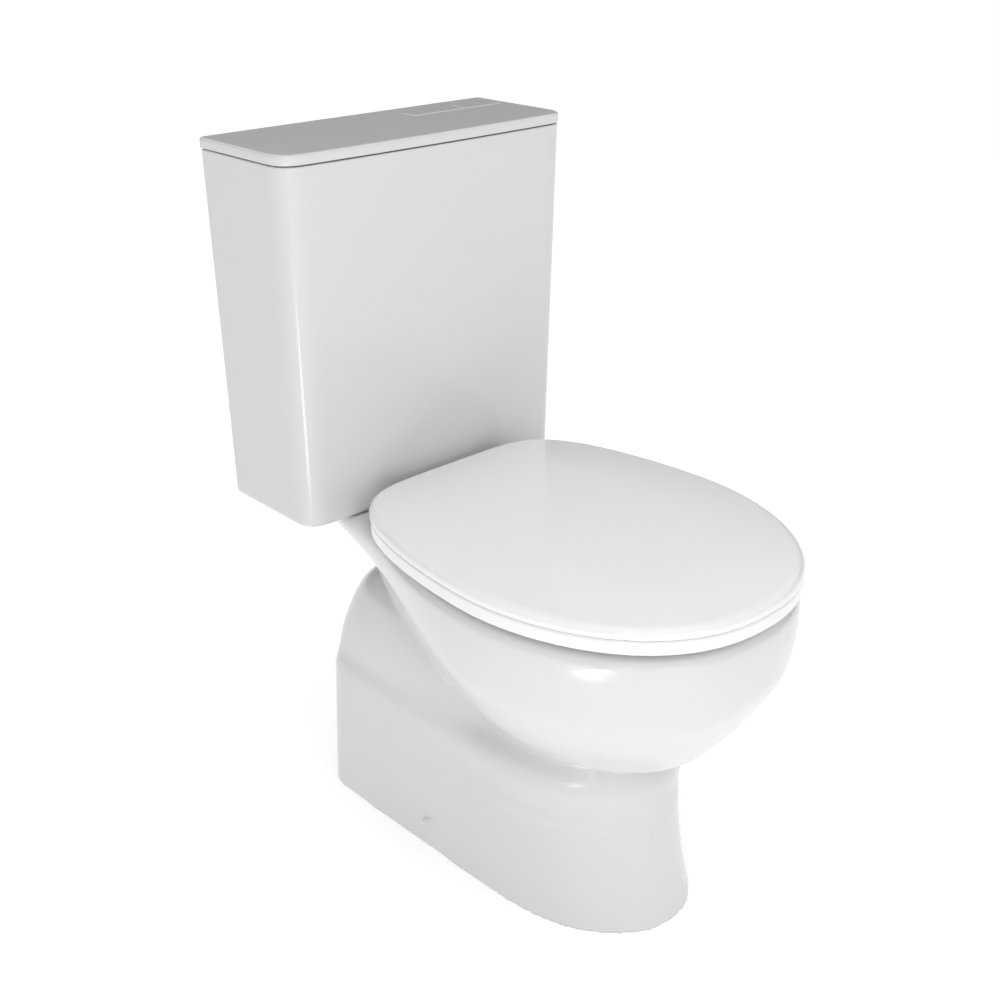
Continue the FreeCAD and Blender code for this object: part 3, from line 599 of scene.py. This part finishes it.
def cistern_loop(z, width, depth, bow, corner, back_r, back=0.0):
    """Flat back and straight sides; full front corners run smoothly into a slightly bowed front."""
    half = width / 2
    reach = half - corner
    front = np.linspace(0, reach, 24, endpoint=False)
    turn = np.linspace(0, math.pi / 2, 30)
    rear = np.linspace(0, math.pi / 2, 7)
    side = np.linspace(depth - corner, back + back_r, 12)[1:-1]
    x = np.concatenate([
        front,
        reach + corner * np.sin(turn) ** 0.57,
        np.full(len(side), half),
        half - back_r + back_r * np.cos(rear),
    ])
    d = np.concatenate([
        np.full(len(front), depth),
        depth - corner + corner * np.maximum(np.cos(turn), 0) ** 0.57,
        side,
        back + back_r - back_r * np.sin(rear),
    ])
    d[: len(front) + len(turn)] += bow * (1 - (x[: len(front) + len(turn)] / half) ** 2)
    x = np.concatenate([x, -x[:0:-1]])
    d = np.concatenate([d, d[:0:-1]])
    return np.stack([x, d, np.full(len(x), z)], 1)


def tank_loop(z, inset=0.0, back=0.0):
    share = (z - RIM_Z) / (TANK_TOP - RIM_Z)
    width = 371 + 14.5 * share - 2 * inset
    return cistern_loop(z, width, 144 + 5 * share - inset, 3 + share, 38 - inset * 0.9, 8.0, back)


def bent(r, steps):
    """Pairs of (1 - cos, 1 - sin) times r over a quarter turn, for rounding an edge."""
    turn = np.linspace(0, math.pi / 2, steps)
    return [(r * (1 - math.cos(t)), r * (1 - math.sin(t))) for t in turn]


tank = Build()
loops = [tank_loop(RIM_Z + rise, inset, inset * 0.25) for rise, inset in bent(9.0, 10)]
loops += [tank_loop(z) for z in (412, 440, 520, 610, 700, 770, 789.5)]
loops += [tank_loop(TANK_TOP - drop, inset, inset) for inset, drop in bent(1.2, 5)]
loops += [tank_loop(TANK_TOP, inset, inset) for inset in (1.5, 2.5)]
for inset, drop in reversed(bent(1.2, 5)):
    loops.append(tank_loop(TANK_TOP - drop, TANK_WALL - inset, TANK_WALL - inset))
loops += [tank_loop(z, TANK_WALL, TANK_WALL) for z in (789.5, 700, 560, 440, 418)]
loops += [tank_loop(406 + rise, TANK_WALL + inset, TANK_WALL + inset) for inset, rise in bent(8.0, 8)]
first = tank.ring(loops[0])
count = len(loops[0])
last = tank.rings(loops[1:], first)
tank.cap(first, count)
tank.cap(last, count)
tank_mesh = tank.mesh("cistern_body")
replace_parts(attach(tank_mesh, "toilet"), "cistern_tank")


def lid_loop(z, inset=0.0):
    width = LID_WIDTH - 2 * inset
    back_r = max(LID_INSIDE - inset, 1.5)
    return cistern_loop(z, width, LID_DEPTH - inset, LID_BOW, 38 - inset, back_r, inset)


def slot_loop(z):
    """The rounded opening for the buttons."""
    x0, x1, d0, d1, r = 50.0, 184.0, 26.5, 55.5, 2.5
    corners = ((x1 - r, d1 - r, 0), (x0 + r, d1 - r, 90), (x0 + r, d0 + r, 180), (x1 - r, d0 + r, 270))
    points = []
    for cx, cd, start in corners:
        for turn in np.radians(np.linspace(start, start + 90, 6)):
            points.append((cx + r * math.cos(turn), cd + r * math.sin(turn), z))
    return points


lid = Build()
edge = ((LID_BOTTOM, 0.8), (793.75, 0.25), (794.3, 0.0), (798, 0), (800.9, 0))
loops = [lid_loop(z, inset) for z, inset in edge]
loops += [lid_loop(LID_TOP - drop, inset) for inset, drop in bent(2.6, 9)]
loops += [lid_loop(LID_TOP, 3.4)]
bottom = lid.ring(loops[0])
count = len(loops[0])
top = lid.rings(loops[1:], bottom)
slot = slot_loop(LID_TOP)
hole = lid.ring(slot)
lid.cap_with_hole(top, count, hole, len(slot))
hole = lid.ring(slot_loop(800.5), hole)
under = lid.rings([lid_loop(LID_BOTTOM, LID_INSIDE), lid_loop(800.5, LID_INSIDE)], bottom)
lid.cap_with_hole(under, count, hole, len(slot))

# the flange that hangs down inside the tank, open beside the buttons
profile = ((LID_INSIDE, 794.5), (LID_INSIDE, 776.0), (9.2, 776.0), (9.2, 800.6), (LID_INSIDE, 800.6))
loops = [lid_loop(z, inset) for inset, z in profile]
kept = [i for i, p in enumerate(loops[0]) if not (p[0] > 175 and 20 < p[1] < 62)]
gap = next(k for k in range(len(kept)) if kept[k] - kept[k - 1] != 1 and k)
kept = kept[gap:] + kept[:gap]
start = len(lid.points)
for loop in loops:
    lid.points.extend(loop[kept])
m = len(kept)
sides = len(profile)
for i in range(sides):
    a, b = start + i * m, start + (i + 1) % sides * m
    for k in range(m - 1):
        lid.faces.append((a + k, a + k + 1, b + k + 1, b + k))
lid.faces.append(tuple(start + i * m for i in range(sides)))
lid.faces.append(tuple(start + i * m + m - 1 for i in range(sides)))
lid_mesh = lid.mesh("lid_body")
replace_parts(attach(lid_mesh, "lid"), "cistern_lid")

# ---------------------------------------------------------------- studio

scene = bpy.context.scene
scene.view_settings.view_transform = "Standard"

camera = bpy.data.objects.new("camera", bpy.data.cameras.new("camera"))
scene.collection.objects.link(camera)
camera.data.lens = 49.08
camera.data.sensor_width = 36.0
camera.location = (-0.935, -0.944, 1.057)
camera.rotation_euler = (math.radians(90 - 25.02), 0, math.radians(-42.97))
scene.camera = camera


def area_light(name, place, towards, size, power):
    light = bpy.data.lights.new(name, "AREA")
    light.shape = "RECTANGLE"
    light.size, light.size_y = size
    light.energy = power
    obj = bpy.data.objects.new(name, light)
    scene.collection.objects.link(obj)
    obj.location = place
    obj.rotation_euler = (Vector(towards) - Vector(place)).to_track_quat("-Z", "Y").to_euler()
    return obj


area_light("strip", (-2.0, -1.9, 1.0), (0, 0, 0.6), (0.4, 1.8), 5)
area_light("over", (-0.4, -1.2, 3.0), (0, 0, 0.4), (2.4, 2.4), 10)
area_light("front", (-0.9, -2.9, 0.8), (0, -0.1, 0.2), (1.6, 1.0), 9)
low_strip = area_light("low_strip", (-1.12, -0.72, 0.03), (-1.12, -0.72, 1), (0.95, 0.22), 5.0)
low_strip.rotation_euler = (math.pi, 0, math.radians(43))

# bright overhead, paler along the horizon, dim in between except low down to the front right
world = bpy.data.worlds.new("studio")
scene.world = world
world.use_nodes = True
sky = world.node_tree


def world_math(operation, *values):
    node = sky.nodes.new("ShaderNodeMath")
    node.operation = operation
    for socket, value in zip(node.inputs, values):
        if isinstance(value, float):
            socket.default_value = value
        else:
            sky.links.new(value, socket)
    return node.outputs["Value"]


def eased(value, low, high, strength=1.0):
    node = sky.nodes.new("ShaderNodeMapRange")
    node.interpolation_type = "SMOOTHSTEP"
    node.inputs["From Min"].default_value = low
    node.inputs["From Max"].default_value = high
    node.inputs["To Max"].default_value = strength
    sky.links.new(value, node.inputs["Value"])
    return node.outputs["Result"]


direction = sky.nodes.new("ShaderNodeTexCoord")
split = sky.nodes.new("ShaderNodeSeparateXYZ")
sky.links.new(direction.outputs["Generated"], split.inputs["Vector"])
east, north, height = split.outputs
view_east, view_north = 0.682, 0.732
away = world_math(
    "ADD", world_math("MULTIPLY", east, view_east), world_math("MULTIPLY", north, view_north)
)
right = world_math(
    "SUBTRACT", world_math("MULTIPLY", east, view_north), world_math("MULTIPLY", north, view_east)
)
overhead = eased(height, 0.3, 0.55)
nearer = world_math("SUBTRACT", 1.0, eased(away, -0.1, 0.5))
lower = world_math("MULTIPLY", eased(right, -0.4, 0.1, 0.2), nearer)
lower = world_math("MULTIPLY", lower, world_math("SUBTRACT", 1.0, overhead))
horizon = world_math("SUBTRACT", 0.6, eased(height, 0.02, 0.12, 0.6))
total = world_math("MAXIMUM", world_math("MULTIPLY_ADD", overhead, 0.95, lower), horizon)
sky.nodes["Background"].inputs["Color"].default_value = (1, 1, 1, 1)
sky.links.new(total, sky.nodes["Background"].inputs["Strength"])

floor_mesh = bpy.data.meshes.new("floor")
floor_mesh.from_pydata([(-60, -60, 0), (60, -60, 0), (60, 60, 0), (-60, 60, 0)], [], [(0, 1, 2, 3)])
floor = bpy.data.objects.new("floor", floor_mesh)
scene.collection.objects.link(floor)


def new_material(name):
    m = bpy.data.materials.new(name)
    m.use_nodes = True
    return m, m.node_tree.nodes, m.node_tree.links, m.node_tree.nodes["Principled BSDF"]


def noise_from(nodes, links, scale, detail, stretch=None):
    """Soft noise in the piece's own coordinates, stretched along an axis if asked."""
    coords = nodes.new("ShaderNodeTexCoord")
    noise = nodes.new("ShaderNodeTexNoise")
    noise.inputs["Scale"].default_value = scale
    noise.inputs["Detail"].default_value = detail
    source = coords.outputs["Object"]
    if stretch:
        mapping = nodes.new("ShaderNodeMapping")
        mapping.inputs["Scale"].default_value = stretch
        links.new(source, mapping.inputs["Vector"])
        source = mapping.outputs["Vector"]
    links.new(source, noise.inputs["Vector"])
    return noise.outputs["Fac"]


def vary(nodes, links, fac, low, high, socket):
    spread = nodes.new("ShaderNodeMapRange")
    spread.inputs["To Min"].default_value = low
    spread.inputs["To Max"].default_value = high
    links.new(fac, spread.inputs["Value"])
    links.new(spread.outputs["Result"], socket)


def vary_colour(nodes, links, fac, colour, other, socket):
    mix = nodes.new("ShaderNodeMix")
    mix.data_type = "RGBA"
    colours = [i for i in mix.inputs if i.type == "RGBA"]
    colours[0].default_value = (*colour, 1)
    colours[1].default_value = (*other, 1)
    links.new(fac, mix.inputs["Factor"])
    links.new([o for o in mix.outputs if o.type == "RGBA"][0], socket)


def bump(nodes, links, fac, strength, distance, shader):
    node = nodes.new("ShaderNodeBump")
    node.inputs["Strength"].default_value = strength
    node.inputs["Distance"].default_value = distance
    links.new(fac, node.inputs["Height"])
    links.new(node.outputs["Normal"], shader.inputs["Normal"])


def glazed(name, colour, roughness, coat):
    """Glaze or polished plastic: very slight clouds in the white and in the gloss."""
    m, nodes, links, shader = new_material(name)
    cloud = noise_from(nodes, links, 7.0, 2.0)
    vary_colour(nodes, links, cloud, colour, [c * 0.985 for c in colour], shader.inputs["Base Color"])
    vary(nodes, links, cloud, roughness * 0.85, roughness * 1.15, shader.inputs["Roughness"])
    shader.inputs["Coat Weight"].default_value = coat
    shader.inputs["Coat Roughness"].default_value = 0.1
    return m


def satin(name, colour, roughness, grain):
    """Moulded plastic or rubber with a fine texture."""
    m, nodes, links, shader = new_material(name)
    fine = noise_from(nodes, links, 900.0, 2.0)
    cloud = noise_from(nodes, links, 30.0, 3.0)
    vary_colour(nodes, links, cloud, colour, [c * 0.9 for c in colour], shader.inputs["Base Color"])
    vary(nodes, links, fine, roughness * 0.85, roughness * 1.15, shader.inputs["Roughness"])
    bump(nodes, links, fine, grain, 0.0004, shader)
    return m


def metal(name, colour, roughness, stretch):
    """Drawn or turned metal with fine marks along its length."""
    m, nodes, links, shader = new_material(name)
    marks = noise_from(nodes, links, 60.0, 4.0, stretch)
    vary_colour(nodes, links, marks, colour, [c * 0.8 for c in colour], shader.inputs["Base Color"])
    vary(nodes, links, marks, roughness * 0.7, roughness * 1.3, shader.inputs["Roughness"])
    bump(nodes, links, marks, 0.15, 0.0002, shader)
    shader.inputs["Metallic"].default_value = 1.0
    return m


materials = {
    "china": glazed("china", (0.72, 0.72, 0.725), 0.24, 0.3),
    "cistern_plastic": glazed("cistern_plastic", (0.68, 0.68, 0.68), 0.2, 0.1),
    "seat_plastic": glazed("seat_plastic", (0.88, 0.88, 0.88), 0.12, 0.3),
    "button_plastic": glazed("button_plastic", (0.75, 0.75, 0.75), 0.14, 0.15),
    "valve_white": satin("valve_white", (0.82, 0.82, 0.81), 0.42, 0.1),
    "valve_blue": satin("valve_blue", (0.03, 0.09, 0.26), 0.4, 0.1),
    "valve_grey": satin("valve_grey", (0.17, 0.175, 0.18), 0.45, 0.12),
    "rubber": satin("rubber", (0.012, 0.012, 0.012), 0.65, 0.35),
    "pad": satin("pad", (0.66, 0.66, 0.65), 0.5, 0.2),
    "steel": metal("steel", (0.6, 0.6, 0.6), 0.28, (1, 8, 8)),
    "zinc": metal("zinc", (0.48, 0.5, 0.5), 0.38, (3, 1, 3)),
    "brass": metal("brass", (0.66, 0.42, 0.15), 0.3, (8, 8, 1)),
}

slot_of = {part["node"]: part["material_slot"] for part in frame["record"]["subparts"]}
for node, obj in frame["nodes"].items():
    obj.data.materials.clear()
    obj.data.materials.append(materials[slot_of[node]])
    obj.data.set_sharp_from_angle(angle=math.radians(30))
for obj, slot in ((pan, "china"), (ring_mesh, "seat_plastic"), (cover_mesh, "seat_plastic"),
                  (tank_mesh, "cistern_plastic"), (lid_mesh, "cistern_plastic")):
    obj.data.materials.append(materials[slot])

floor_paint = glazed("floor_paint", (0.93, 0.93, 0.93), 0.8, 0.0)
floor_shader = floor_paint.node_tree.nodes["Principled BSDF"]
floor_shader.inputs["Emission Color"].default_value = (1, 1, 1, 1)
floor_shader.inputs["Emission Strength"].default_value = 0.3
floor_mesh.materials.append(floor_paint)
